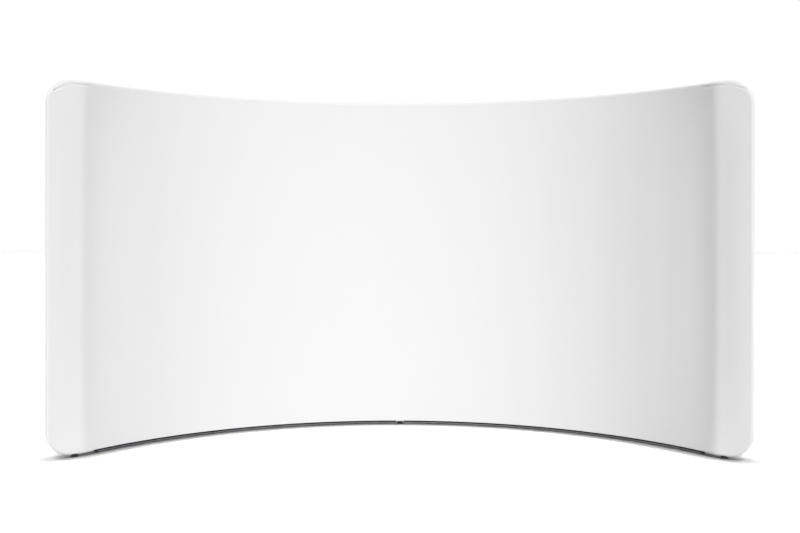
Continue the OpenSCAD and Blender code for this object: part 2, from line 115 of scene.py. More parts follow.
def add_node(
    tree: NodeTree, kind: str, values: dict | None = None, links: dict | None = None, **props
) -> Node:
    """Adds a shader node with its settings and links.

    Args:
        tree: The material's or world's node tree.
        kind: The node's type name, without its first word, ShaderNode.
        values: Input socket name or number to its value.
        links: Input socket name or number to the output socket that feeds it.
        **props: Properties of the node itself.

    Returns:
        The new node.
    """
    node = tree.nodes.new(f"ShaderNode{kind}")
    for name, value in props.items():
        setattr(node, name, value)
    for socket, value in (values or {}).items():
        node.inputs[socket].default_value = value
    for socket, source in (links or {}).items():
        tree.links.new(source, node.inputs[socket])
    return node


def deselect_all() -> None:
    """Leaves object mode with nothing selected."""
    if bpy.context.object and bpy.context.object.mode != "OBJECT":
        bpy.ops.object.mode_set(mode="OBJECT")
    bpy.ops.object.select_all(action="DESELECT")


def smooth_step(value: float) -> float:
    """Eases from 0 to 1 as the value goes from 0 to 1."""
    t = min(max(value, 0.0), 1.0)
    return t * t * (3 - 2 * t)


def eased(value: float, keys: Sequence[Pair]) -> float:
    """Eases between keys.

    Args:
        value: Where to read.
        keys: Places in rising order, each with its value.

    Returns:
        The value there, level before the first key and after the last.
    """
    for (a, at_a), (b, at_b) in zip(keys, keys[1:]):
        if value <= b:
            return at_a + (at_b - at_a) * smooth_step((value - a) / (b - a))
    return keys[-1][1]


def spread(start: float, end: float, step: float) -> list[float]:
    """Evenly spaced places from start to end, both kept, about a step apart."""
    count = max(1, round((end - start) / step))
    return [start + (end - start) * i / count for i in range(count + 1)]


def wave_scale(pitch: float) -> float:
    """The scale at which a wave texture repeats once in each pitch: 2 pi / 20 at a scale of 1."""
    return 2 * math.pi / (20 * pitch)


def pick(piece: Object) -> None:
    """Selects one object alone and makes it active.

    Args:
        piece: The object.
    """
    deselect_all()
    bpy.context.view_layer.objects.active = piece
    piece.select_set(True)


def change_faces(piece: Object, wanted: Callable[[MeshPolygon], bool], change: Callable[[], object]) -> None:
    """Runs an operator of edit mode on some of a mesh's faces.

    Args:
        piece: The object.
        wanted: Tells for a face whether it is selected.
        change: Calls the operator.
    """
    pick(piece)
    mesh = piece.data
    mesh.update()
    for elements in (mesh.vertices, mesh.edges):
        elements.foreach_set("select", [False] * len(elements))
    mesh.polygons.foreach_set("select", [wanted(face) for face in mesh.polygons])
    bpy.ops.object.mode_set(mode="EDIT")
    bpy.ops.mesh.select_mode(type="FACE")
    change()
    bpy.ops.object.mode_set(mode="OBJECT")


def laid_grid(name: str, columns: int, rows: int, lay: Callable[[int, int], tuple[Pair, Vector]]) -> Object:
    """Adds a grid and lays it on the wall, with its flat measures kept as UVs.

    Args:
        name: The object's name.
        columns: How many columns of points it has.
        rows: How many rows of points it has.
        lay: Gives the flat measures and the place of the point in a column and a row.

    Returns:
        The grid, as an object of its own.
    """
    deselect_all()
    bpy.ops.mesh.primitive_grid_add(x_subdivisions=columns - 1, y_subdivisions=rows - 1, size=2)
    piece = bpy.context.object
    piece.name = name
    mesh = piece.data
    flat: list[Pair] = []
    for vertex in mesh.vertices:
        column = round((vertex.co.x + 1) / 2 * (columns - 1))
        row = round((vertex.co.y + 1) / 2 * (rows - 1))
        measures, vertex.co = lay(column, row)
        flat.append(measures)
    layer = mesh.uv_layers.active or mesh.uv_layers.new()
    layer.name = FLAT_PATTERN
    for loop in mesh.loops:
        layer.data[loop.index].uv = flat[loop.vertex_index]
    return piece


def finish_sheet(piece: Object, thickness: float, finish: "Finish", even: bool = False) -> None:
    """Thickens a laid sheet inwards, smooths it and gives it its finish.

    Args:
        piece: The sheet.
        thickness: How thick it gets.
        finish: Its finish.
        even: Whether it is as thick at a fold as elsewhere.
    """
    wall = piece.modifiers.new("Thickness", "SOLIDIFY")
    wall.thickness = thickness
    wall.offset = -1.0
    wall.use_even_offset = even
    pick(piece)
    bpy.ops.object.modifier_apply(modifier=wall.name)
    bpy.ops.object.shade_smooth()
    piece.data.materials.append(finish.build())


def stood(spot: Vector, x_axis: Vector, y_axis: Vector, z_axis: Vector) -> Matrix:
    """The place of a shape that stands at a spot, from its own three directions."""
    return Matrix.Translation(spot) @ Matrix((x_axis, y_axis, z_axis)).transposed().to_4x4()


def repeated(name: str, model: Object, places: Iterable[Matrix], finish: "Finish") -> Object:
    """Joins a copy of a small modelled shape at each place into one piece.

    Args:
        name: The piece's name.
        model: The shape, modelled at the origin. It is deleted.
        places: Where each copy goes.
        finish: Its finish.

    Returns:
        The piece, at the origin.
    """
    corners = [v.co.copy() for v in model.data.vertices]
    faces = [list(p.vertices) for p in model.data.polygons]
    all_corners: list[Vector] = []
    all_faces: list[list[int]] = []
    for place in places:
        first = len(all_corners)
        all_corners += [place @ c for c in corners]
        all_faces += [[first + i for i in face] for face in faces]
    mesh = bpy.data.meshes.new(name)
    mesh.from_pydata(all_corners, [], all_faces)
    mesh.update()
    bpy.data.objects.remove(model)
    piece = bpy.data.objects.new(name, mesh)
    bpy.context.scene.collection.objects.link(piece)
    pick(piece)
    bpy.ops.object.shade_smooth_by_angle(angle=SHARP_EDGE)
    mesh.materials.append(finish.build())
    return piece


# ---- Finishes ----


@dataclass(frozen=True)
class Finish:
    """What every finish shares: its name, colour and gloss."""

    name: str
    colour: str
    roughness: float
    metallic: float = 0.0

    def build(self) -> Material:
        """Makes the material, with the finish's own relief on it.

        Returns:
            The new material.
        """
        material = bpy.data.materials.new(self.name)
        material.use_nodes = True
        tree = material.node_tree
        shader = tree.nodes["Principled BSDF"]
        shader.inputs["Base Color"].default_value = srgb(self.colour)
        shader.inputs["Roughness"].default_value = self.roughness
        shader.inputs["Metallic"].default_value = self.metallic
        self.detail(tree, shader)
        return material

    def detail(self, tree: NodeTree, shader: Node) -> None:
        """Adds what the surface shows close to; a plain finish adds nothing."""

    def relieve(
        self, tree: NodeTree, shader: Node, height: NodeSocket, strength: float, depth: float
    ) -> None:
        """Gives the surface a fine relief.

        Args:
            tree: The material's tree.
            shader: Its Principled BSDF.
            height: The output socket with the pattern's height, from 0 to 1.
            strength: How much of the relief shows.
            depth: How deep it is, in metres.
        """
        relief = {"Strength": strength, "Distance": depth}
        bump = add_node(tree, "Bump", relief, {"Height": height})
        tree.links.new(bump.outputs["Normal"], shader.inputs["Normal"])

    def mottle(self, tree: NodeTree, shader: Node, coords: NodeSocket, size: float, depth: float) -> None:
        """Varies the colour slightly by soft patches.

        Args:
            tree: The material's tree.
            shader: Its Principled BSDF.
            coords: The output socket with the coordinates, in metres.
            size: How wide a patch is, in metres.
            depth: How much darker the darkest patch is, as a share.
        """
        noise = add_node(tree, "TexNoise", {"Scale": 1 / size, "Detail": 3.0}, {"Vector": coords})
        base = srgb(self.colour)
        dark = tuple(c * (1 - depth) for c in base[:3]) + (1.0,)
        mix = add_node(tree, "Mix", {6: dark, 7: base}, {0: noise.outputs["Fac"]}, data_type="RGBA")
        tree.links.new(mix.outputs[2], shader.inputs["Base Color"])


@dataclass(frozen=True)
class StretchKnit(Finish):
    """Warp-knitted polyester with elastane: matt, softly ribbed along its wales."""

    # Real wales are about 0.9 mm apart. They are drawn at twice that, as pairs
    # of loops, so that they show when the fabric is looked at closely.
    wale: float = 1.8 * MM
    course: float = 1.5 * MM

    def detail(self, tree: NodeTree, shader: Node) -> None:
        """Knit loops as fine relief on the flat pattern's own coordinates.

        Args:
            tree: The material's tree.
            shader: Its Principled BSDF.
        """
        flat = add_node(tree, "UVMap", uv_map=FLAT_PATTERN).outputs["UV"]
        waves = {}
        for number, (way, pitch) in enumerate((("X", self.wale), ("Y", self.course))):
            yarn = {"Scale": wave_scale(pitch), "Distortion": 0.4, "Detail": 1.0}
            wave = add_node(tree, "TexWave", yarn, {"Vector": flat}, bands_direction=way)
            waves[number] = wave.outputs["Fac"]
        loops = add_node(tree, "Math", links=waves, operation="MULTIPLY")
        self.relieve(tree, shader, loops.outputs[0], strength=0.25, depth=0.08 * MM)
        shader.inputs["Sheen Weight"].default_value = 0.02
        shader.inputs["Sheen Roughness"].default_value = 0.5
        shader.inputs["Specular IOR Level"].default_value = 0.08
        # Loops of yarn scatter light back to where it comes from, so the fabric
        # darkens less towards the sides than a smooth white wall would
        shader.inputs["Diffuse Roughness"].default_value = 0.45
        self.mottle(tree, shader, flat, size=0.5, depth=0.012)


@dataclass(frozen=True)
class WovenTape(Finish):
    """Black polyester twill tape: matt, with a slanted rib."""

    rib: float = 1.2 * MM

    def detail(self, tree: NodeTree, shader: Node) -> None:
        """Twill ribs across the tape's own coordinates.

        Args:
            tree: The material's tree.
            shader: Its Principled BSDF.
        """
        flat = add_node(tree, "UVMap", uv_map=FLAT_PATTERN).outputs["UV"]
        scale = {"Scale": wave_scale(self.rib)}
        rib = add_node(tree, "TexWave", scale, {"Vector": flat}, bands_direction="DIAGONAL")
        self.relieve(tree, shader, rib.outputs["Fac"], strength=0.6, depth=0.2 * MM)
        shader.inputs["Specular IOR Level"].default_value = 0.2
        self.mottle(tree, shader, flat, size=0.03, depth=0.3)


@dataclass(frozen=True)
class GrainedSurface(Finish):
    """A surface with fine even grain: moulded plastic, rubber, cast or bead-blasted metal."""

    grain: float = 0.5 * MM
    relief: float = 0.05 * MM
    patch: float = 0.02
    patch_depth: float = 0.12

    def detail(self, tree: NodeTree, shader: Node) -> None:
        """Grain as relief, with faint patches of tone.

        Args:
            tree: The material's tree.
            shader: Its Principled BSDF.
        """
        place = add_node(tree, "TexCoord").outputs["Object"]
        grains = {"Scale": 1 / self.grain, "Detail": 2.0}
        height = add_node(tree, "TexNoise", grains, {"Vector": place}).outputs["Fac"]
        self.relieve(tree, shader, height, strength=0.5, depth=self.relief)
        self.mottle(tree, shader, place, self.patch, self.patch_depth)


@dataclass(frozen=True)
class DrawnMetal(Finish):
    """Metal drawn or rolled in one direction: long faint scratches vary its gloss."""

    scratch_l: float = 60 * MM
    scratch_w: float = 0.4 * MM
    # Least and most roughness that the scratches give, as shares of the finish's own
    smoothest: float = 0.8
    roughest: float = 1.25

    def detail(self, tree: NodeTree, shader: Node) -> None:
        """Scratches stretched along the vertical, which vary the gloss.

        Args:
            tree: The material's tree.
            shader: Its Principled BSDF.
        """
        place = add_node(tree, "TexCoord").outputs["Object"]
        stretch = (1 / self.scratch_w, 1 / self.scratch_w, 1 / self.scratch_l)
        drawn = add_node(tree, "Mapping", {"Scale": stretch}, {"Vector": place}).outputs["Vector"]
        noise = add_node(tree, "TexNoise", {"Scale": 1.0, "Detail": 2.0}, {"Vector": drawn})
        least, most = self.roughness * self.smoothest, self.roughness * self.roughest
        levels = {"To Min": least, "To Max": most}
        gloss = add_node(tree, "MapRange", levels, {"Value": noise.outputs["Fac"]})
        tree.links.new(gloss.outputs["Result"], shader.inputs["Roughness"])
        self.mottle(tree, shader, place, size=0.08, depth=0.06)


WHITE_KNIT = StretchKnit("stretch_fabric_white", "f8f8f8", 0.92)
WHITE_THREAD = GrainedSurface("polyester_thread_white", "f0f0f0", 0.75, grain=0.3 * MM)
BLACK_TAPE = WovenTape("zip_tape_black_twill", "141416", 0.9)
BLACK_THREAD = GrainedSurface("polyester_thread_black", "1a1a1c", 0.7, grain=0.3 * MM)
SLOT_FINISH: dict[str, Finish] = {
    # Mill-finish extruded tube, drawn straight and clear anodised: satin grey
    "tube_aluminium": DrawnMetal("tube_anodised_aluminium", "c9cbcd", 0.38, 1.0),
    # Rolled spring strip, tumbled: brighter than the tube
    "spring_steel": DrawnMetal("snap_button_spring_steel", "b4b6ba", 0.3, 1.0, scratch_l=8 * MM),
    # Nylon monofilament: deep black with a dull shine
    "zip_coil": GrainedSurface("zip_coil_black_nylon", "17171a", 0.38),
    # Crimped stops, electroplated black nickel
    "stop_metal": DrawnMetal("zip_stop_black_nickel", "5c5d61", 0.35, 1.0, scratch_l=4 * MM),
    # Die-cast zinc slider under black enamel: smooth, hard gloss
    "slider_metal": GrainedSurface("zip_slider_black_enamel", "1c1c1f", 0.28, grain=2 * MM, relief=0.02 * MM),
    # Moulded polypropylene with a fine spark-eroded grain
    "foot_plastic": GrainedSurface("foot_moulded_polypropylene", "1d1d1f", 0.55),
    # Black rubber sheet: dead matt
    "sole_rubber": GrainedSurface("sole_black_rubber", "151516", 0.88, grain=0.8 * MM),
    # Zinc-plated steel screw and blind nut
    "screw_steel": DrawnMetal("screw_zinc_plated_steel", "a9abb0", 0.32, 1.0, scratch_l=5 * MM),
}


# ---- The wall's curve ----


@dataclass(frozen=True)
class WallCurve:
    """The tube's middle line in plan, and the heights of the two rails."""

    arc_r: float = 2.300
    arc_half: float = math.radians(57)
    bend_r: float = 0.120
    end_angle: float = math.radians(33)
    strip_l: float = 0.178
    corner_r: float = 0.134
    # Length of the main curve that each corner tube takes from the rails
    corner_leg: float = 0.065
    back_y: float = field(default_factory=lambda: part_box("cover_back")[1][1] - FABRIC_R)
    top_z: float = field(default_factory=lambda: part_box("rail_top_middle")[1][2] - TUBE_R)
    rail_z: float = field(default_factory=lambda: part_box("rail_bottom_middle")[0][2] + TUBE_R)

    @property
    def bend_start(self) -> float:
        """Length from the middle of the wall to the reverse bend."""
        return self.arc_r * self.arc_half

    @property
    def strip_start(self) -> float:
        """Length from the middle of the wall to the straight end strip."""
        return self.bend_start + self.bend_r * (self.arc_half - self.end_angle)

    @property
    def end(self) -> float:
        """Length from the middle of the wall to an end upright."""
        return self.strip_start + self.strip_l

    @property
    def middle_z(self) -> float:
        """Height of the middle between the two rails."""
        return (self.rail_z + self.top_z) / 2

    @property
    def half_h(self) -> float:
        """Half the height between the two rails' middle lines."""
        return (self.top_z - self.rail_z) / 2

    @property
    def field_x(self) -> float:
        """Length from the middle of the wall to the rounded corners' centres."""
        return self.end - self.corner_r

    @property
    def field_z(self) -> float:
        """Height of the rounded corners' centres over the wall's middle."""
        return self.half_h - self.corner_r

    def angle(self, along: float) -> float:
        """The way that the wall's back faces.

        Args:
            along: Length along the middle line, 0 in the middle, + to the right.

        Returns:
            The angle from straight back towards +X.
        """
        size = abs(along)
        if size <= self.bend_start:
            turn = size / self.arc_r
        elif size <= self.strip_start:
            turn = self.arc_half - (size - self.bend_start) / self.bend_r
        else:
            turn = self.end_angle
        return math.copysign(turn, along)

    def place(self, along: float, depth: float, height: float) -> Vector:
        """Finds a point by the wall's own measures.

        Args:
            along: Length along the middle line, 0 in the middle, + to the right.
            depth: Distance from the middle line towards the back.
            height: Height above the floor.

        Returns:
            The point in the object's frame.
        """
        size, turn = abs(along), abs(self.angle(along))
        if size <= self.bend_start:
            x, y = (self.arc_r + depth) * math.sin(turn), (self.arc_r + depth) * math.cos(turn)
        else:
            centre, radius = self.arc_r + self.bend_r, self.bend_r - depth
            straight = max(size - self.strip_start, 0.0)
            x = centre * math.sin(self.arc_half) - radius * math.sin(turn) + straight * math.cos(turn)
            y = centre * math.cos(self.arc_half) - radius * math.cos(turn) - straight * math.sin(turn)
        return Vector((math.copysign(x, along) if along else 0.0, self.back_y - self.arc_r + y, height))

    def axes(self, along: float) -> tuple[Vector, Vector]:
        """The wall's own directions at a place: along it, and towards its back."""
        turn = self.angle(along)
        return Vector((math.cos(turn), -math.sin(turn), 0)), Vector((math.sin(turn), math.cos(turn), 0))


@dataclass(frozen=True)
class ZipRun:
    """Where the two zips lie under the bottom rail, and how their parts are sized."""

    start: float = 0.0340
    finish: float = 2.2281
    slot_half: float = math.radians(56)
    tape_half: float = math.radians(66)
    tape_inner: float = math.radians(10)
    stop_l: float = 0.005
    tail: float = 0.008
    tape_t: float = 0.0008


# ---- Cover ----


@dataclass(frozen=True)
class Wrinkle:
    """A short raised or sunk fold in a panel, drawn as a straight line.

    The ends are measured inwards from the end upright and downwards from the top
    rail's middle line.
    """

    start: Pair
    end: Pair
    height: float
    half_width: float
    # How far the fold runs on past its ends, and over what length it fades out,
    # both as shares of its own length
    overrun: float = 0.2
    fade: float = 0.35

    def rise(self, inwards: float, down: float) -> float:
        """How far the fabric stands out of its plain surface at a place.

        Args:
            inwards: Distance inwards from the end upright.
            down: Distance down from the top rail's middle line.

        Returns:
            Distance outwards, negative in a sunk fold.
        """
        (ax, ay), (bx, by) = self.start, self.end
        length = math.hypot(bx - ax, by - ay)
        share = ((inwards - ax) * (bx - ax) + (down - ay) * (by - ay)) / length**2
        off = ((inwards - ax) * (by - ay) - (down - ay) * (bx - ax)) / length
        before, past = (share + self.overrun) / self.fade, (1 + self.overrun - share) / self.fade
        taper = smooth_step(before) * smooth_step(past)
        return self.height * taper * math.exp(-((off / self.half_width) ** 2))


# Folds over the tubes at the top corners, on the left and on the right end. At the
# reverse bend the fabric hangs over the tube as a ledge: raised above, sunk below.
# The short ones are puckers round the corner.
LEFT_WRINKLES = (
    Wrinkle((0.135, -0.0020), (0.225, -0.0020), 3.2 * MM, 7.0 * MM),
    Wrinkle((0.130, 0.0115), (0.230, 0.0115), -2.4 * MM, 5.5 * MM),
    Wrinkle((0.012, 0.0520), (0.080, 0.0160), 2.6 * MM, 4.0 * MM),
    Wrinkle((0.018, 0.0600), (0.090, 0.0230), -2.6 * MM, 4.0 * MM),
    Wrinkle((0.030, 0.0720), (0.085, 0.0420), 1.2 * MM, 5.0 * MM),
)
RIGHT_WRINKLES = (
    Wrinkle((0.155, -0.0020), (0.285, -0.0020), 3.0 * MM, 7.0 * MM),
    Wrinkle((0.150, 0.0115), (0.290, 0.0115), -2.2 * MM, 5.5 * MM),
    Wrinkle((0.010, 0.0430), (0.090, 0.0120), 1.6 * MM, 4.0 * MM),
    Wrinkle((0.014, 0.0540), (0.090, 0.0230), -1.6 * MM, 4.0 * MM),
    Wrinkle((0.020, 0.0680), (0.070, 0.0420), 1.0 * MM, 5.0 * MM),
)


@dataclass
class CoverPanel:
    """One panel of the pillowcase: flat field, and a rim that wraps half the tube."""

    curve: WallCurve
    zips: ZipRun
    side: Side
    sheet_t: float = 1.0 * MM

    # Spacing of the lines of points: in the field, in a corner, and in the band
    # beside the tube, where the folds are
    field_step: float = 0.016
    corner_step: float = 0.011
    band_step: float = 0.004
    band: float = 0.044
    lines_to_corner: int = 17

    # The tension draws the front panel out before the reverse bend and in at it.
    # Near a rail the tube holds it back, over about the length in hold
    waist: float = 0.020
    belly: float = 0.012
    hold: float = 0.35
    slack_before: float = 0.500
    slack_past: float = 0.045

    # Nearer than this to a rail's middle line the fabric lies plain on the tube
    plain_at_tube: float = 0.8 * TUBE_R

    # The back panel's draw, between the inner uprights and outside them
    middle_belly: float = 0.0156
    belly_reach: float = 0.3
    bend_lift: float = 0.006

    # Faint waves along both panels: height, turn in each metre, turn at the
    # middle. They fade out towards the ends
    waves: tuple[tuple[float, float, float], ...] = ((0.9 * MM, 15.7, 0.6), (0.6 * MM, 27.3, 2.1))
    waves_clear: float = 0.03
    waves_fade: float = 0.25

    # Angles round the tube at which the rim has a row of points, in degrees. One
    # lies on the edge of the zip's slot
    rim_turns: tuple[float, ...] = (7, 14, 21, 27.5, 34, 45, 56, 67, 78, 86, 90)

    @property
    def name(self) -> str:
        """The CAD node that the panel stands for."""
        return f"cover_{self.side.name.lower()}"

    @property
    def rim_l(self) -> float:
        """Length of the fabric that wraps a quarter of the tube."""
        return FABRIC_R * math.pi / 2

    def corner_rows(self) -> list[float]:
        """Finds the rows from a corner's centre outwards.

        Returns:
            Their distances: coarse, fine beside the tube, then the rim's.
        """
        radius = self.curve.corner_r
        edge = radius - self.band
        rows = spread(0, edge, self.corner_step)[1:] + spread(edge, radius, self.band_step)[1:]
        return rows + [radius + FABRIC_R * math.radians(turn) for turn in self.rim_turns]

    def lines_along(self) -> list[float]:
        """Finds the upright lines of points.

        Returns:
            Their places, from the left to the right edge.
        """
        marks = [0.0, self.zips.start, self.zips.finish]
        marks += [self.curve.bend_start, self.curve.strip_start, self.curve.field_x]
        half: list[float] = [0.0]
        for a, b in zip(marks, marks[1:]):
            half += spread(a, b, self.field_step)[1:]
        half += [self.curve.field_x + row for row in self.corner_rows()]
        return [-value for value in reversed(half[1:])] + half

    def lines_up(self) -> list[float]:
        """Finds the level lines of points.

        Returns:
            Their heights, from the bottom to the top edge.
        """
        middle, count = self.curve.middle_z, self.lines_to_corner
        half = [self.curve.field_z * math.sin(math.pi / 2 * i / count) for i in range(count + 1)]
        half += [self.curve.field_z + row for row in self.corner_rows()]
        return [middle - value for value in reversed(half[1:])] + [middle + value for value in half]

    def form(self, along: float, height: float) -> float:
        """How far the tension draws the fabric out of the plain curve.

        Args:
            along: Place along the wall.
            height: Height above the floor.

        Returns:
            Distance outwards from the plain surface, in metres.
        """
        curve = self.curve
        half = curve.half_h - self.plain_at_tube
        level = min(abs(height - curve.middle_z), half)
        held = 1 - math.cosh(level / self.hold) / math.cosh(half / self.hold)
        size = abs(along)
        drawn = self.towards_viewer(size) if self.side is Side.FRONT else self.between_uprights(size)
        wave = sum(rise * math.sin(along * rate + first) for rise, rate, first in self.waves)
        fade = smooth_step((curve.end - self.waves_clear - size) / self.waves_fade)
        return (drawn + wave * fade) * held

    def towards_viewer(self, size: float) -> float:
        """How far the front panel is drawn out, level with the middle of the wall.

        Args:
            size: Distance from the middle of the wall, along it.

        Returns:
            Distance towards the front.
        """
        keys = (
            (self.curve.bend_start - self.slack_before, self.belly),
            (self.curve.bend_start, -self.waist),
            (self.curve.end - self.slack_past, 0.0),
        )
        return eased(size, keys)

    def between_uprights(self, size: float) -> float:
        """How far the back panel is drawn in between the uprights that it lies on.

        Args:
            size: Distance from the middle of the wall, along it.

        Returns:
            Distance towards the back, negative where it is drawn in.
        """
        curve = self.curve
        section = (curve.bend_start - curve.corner_leg) * 2 / 3
        if size < section:
            return -self.middle_belly * math.sin(math.pi * size / section) ** 2
        keys = (
            (section, 0.0),
            (section + self.belly_reach, -self.belly),
            (curve.strip_start, self.bend_lift),
            (curve.end, 0.0),
        )
        return eased(size, keys)

    def past_field(self, along: float, height: float) -> tuple[float, Pair]:
        """Finds how a point of the flat pattern lies to the field between the corners.

        Args:
            along: Its measure along the pattern, 0 in the middle.
            height: Its height on the pattern.

        Returns:
            How far past the field's nearest edge it is, and which way, across and up.
        """
        across = abs(along) - self.curve.field_x
        up = abs(height - self.curve.middle_z) - self.curve.field_z
        if across > 0 and up > 0:
            # The grid's square corner is bent to a quarter circle
            distance = max(across, up)
            turn = math.pi / 4 * min(across, up) / distance
            if up > across:
                turn = math.pi / 2 - turn
            return distance, (math.cos(turn), math.sin(turn))
        if up > across:
            return up, (0.0, 1.0)
        return across, (1.0, 0.0)

    def mapped(self, along: float, height: float) -> Vector:
        """Puts a point of the flat pattern on the wall.

        Args:
            along: Its measure along the pattern, 0 in the middle.
            height: Its height on the pattern.

        Returns:
            Its place on the stretched cover.
        """
        curve = self.curve
        distance, (across, up) = self.past_field(along, height)
        flat = min(distance, curve.corner_r)
        wrap = max(distance - curve.corner_r, 0.0) / FABRIC_R
        size = (curve.field_x if across else abs(along)) + flat * across
        level = (curve.field_z if up else abs(height - curve.middle_z)) + flat * up
        stand = FABRIC_R
        if wrap == 0:
            stand += self.form(math.copysign(size, along), height)
        if self.side is Side.FRONT and height > curve.middle_z:
            reach = FABRIC_R * math.sin(wrap)
            inwards, down = curve.end - size - reach * across, curve.half_h - level - reach * up
            wrinkles = RIGHT_WRINKLES if along > 0 else LEFT_WRINKLES
            # A fold dies away round the tube, where rounding can take the cosine below 0
            facing = math.sqrt(max(math.cos(wrap), 0.0))
            stand += sum(wrinkle.rise(inwards, down) for wrinkle in wrinkles) * facing
        out = stand * math.sin(wrap)
        return curve.place(
            math.copysign(size + out * across, along),
            self.side.value * stand * math.cos(wrap),
            curve.middle_z + math.copysign(level + out * up, height - curve.middle_z),
        )

    def build(self) -> Object:
        """Makes the panel: a grid laid on the wall, opened at the zips, thickened.

        Returns:
            The panel, at the origin.
        """
        along, up = self.lines_along(), self.lines_up()

        def lay(i: int, j: int) -> tuple[Pair, Vector]:
            """The flat measures and the place of one point."""
            return (along[i], up[j]), self.mapped(along[i], up[j])

        piece = laid_grid(f"{self.name}_fabric", len(along), len(up), lay)
        self.open_slots(piece)
        if self.side is Side.BACK:
            # The grid's faces point to the front
            change_faces(piece, lambda face: True, bpy.ops.mesh.flip_normals)
        finish_sheet(piece, self.sheet_t, WHITE_KNIT, even=True)
        return piece

    def open_slots(self, piece: Object) -> None:
        """Cuts the rim away where the zips lie.

        Args:
            piece: The panel, not yet thickened.
        """
        edge = self.curve.rail_z - FABRIC_R * (math.pi / 2 - self.zips.slot_half)
        small = 1e-6
        measures = piece.data.uv_layers[FLAT_PATTERN].data

        def in_slot(s: float, z: float) -> bool:
            """Whether a point of the pattern lies in a slot or on its edge."""
            return z < edge + small and self.zips.start - small < abs(s) < self.zips.finish + small

        change_faces(
            piece,
            lambda face: all(in_slot(*measures[i].uv) for i in face.loop_indices),
            lambda: bpy.ops.mesh.delete(type="FACE"),
        )


@dataclass
class CoverSeam:
    """The white stitches that join the two panels along the outside of the tubes."""

    curve: WallCurve
    zips: ZipRun
    stitch_l: float = 3.2 * MM
    stitch_gap: float = 1.6 * MM
    thread_r: float = 0.28 * MM
    thread_sides: int = 6
    # How deep a stitch's ends go into the fabric, and how high it lies on it, as
    # shares of the thread's radius, and how far its ends are pinched
    ends_depth: float = 1.2
    lies_at: float = 0.35
    pinch: float = 0.7
    slant: float = math.radians(28)

    def model(self) -> Object:
        """Models one stitch.

        Returns:
            A thread lying along X, drawn in at both ends.
        """
        deselect_all()
        bpy.ops.mesh.primitive_cylinder_add(
            vertices=self.thread_sides,
            radius=self.thread_r,
            depth=self.stitch_l,
            rotation=(0, math.pi / 2, 0),
            end_fill_type="NGON",
        )
        stitch = bpy.context.object
        bpy.ops.object.transform_apply(location=True, rotation=True, scale=True)
        halve = {"plane_co": (0, 0, 0), "plane_no": (1, 0, 0)}
        change_faces(stitch, lambda face: True, lambda: bpy.ops.mesh.bisect(**halve))
        for vertex in stitch.data.vertices:
            if abs(vertex.co.x) > self.stitch_l / 4:
                vertex.co.z -= self.thread_r * self.ends_depth
                vertex.co.y *= self.pinch
        return stitch

    def places(self) -> Iterator[Matrix]:
        """Goes round the cover, but for the zips.

        Yields:
            A place for each stitch.
        """
        curve = self.curve
        step = self.stitch_l + self.stitch_gap
        reach = curve.field_x
        low, high = curve.middle_z - curve.field_z, curve.middle_z + curve.field_z
        quarter = math.pi / 2
        for s in spread(-reach, reach, step):
            yield self.frame(s, curve.top_z, quarter)
            if not self.zips.start < abs(s) < self.zips.finish:
                yield self.frame(s, curve.rail_z, -quarter)
        for side in (-1, 1):
            for z in spread(low, high, step)[1:-1]:
                yield self.frame(side * curve.end, z, 0 if side > 0 else math.pi)
            for centre, first in ((high, 0.0), (low, -quarter)):
                for turn in spread(first, first + quarter, step / (curve.corner_r + FABRIC_R)):
                    way = turn if side > 0 else math.pi - turn
                    along = side * reach + curve.corner_r * math.cos(way)
                    yield self.frame(along, centre + curve.corner_r * math.sin(turn), way)

    def frame(self, along: float, height: float, way: float) -> Matrix:
        """Stands a stitch on the fabric.

        Args:
            along: Place of the tube's middle line along the wall.
            height: Its height.
            way: The outward direction, as an angle in the wall's face.

        Returns:
            The stitch's place: X along the seam, Z outwards.
        """
        tangent, back = self.curve.axes(along)
        out = tangent * math.cos(way) + Vector((0, 0, math.sin(way)))
        reach = FABRIC_R + self.thread_r * self.lies_at
        spot = self.curve.place(along + reach * math.cos(way), 0.0, height + reach * math.sin(way))
        seam = back.cross(out).normalized()
        x_axis = seam * math.cos(self.slant) + back * math.sin(self.slant)
        return stood(spot, x_axis, out.cross(x_axis), out)

    def build(self) -> Object:
        """Makes the ring of stitches, as one piece."""
        return repeated("cover_seam_stitches", self.model(), self.places(), WHITE_THREAD)


# ---- Zips ----


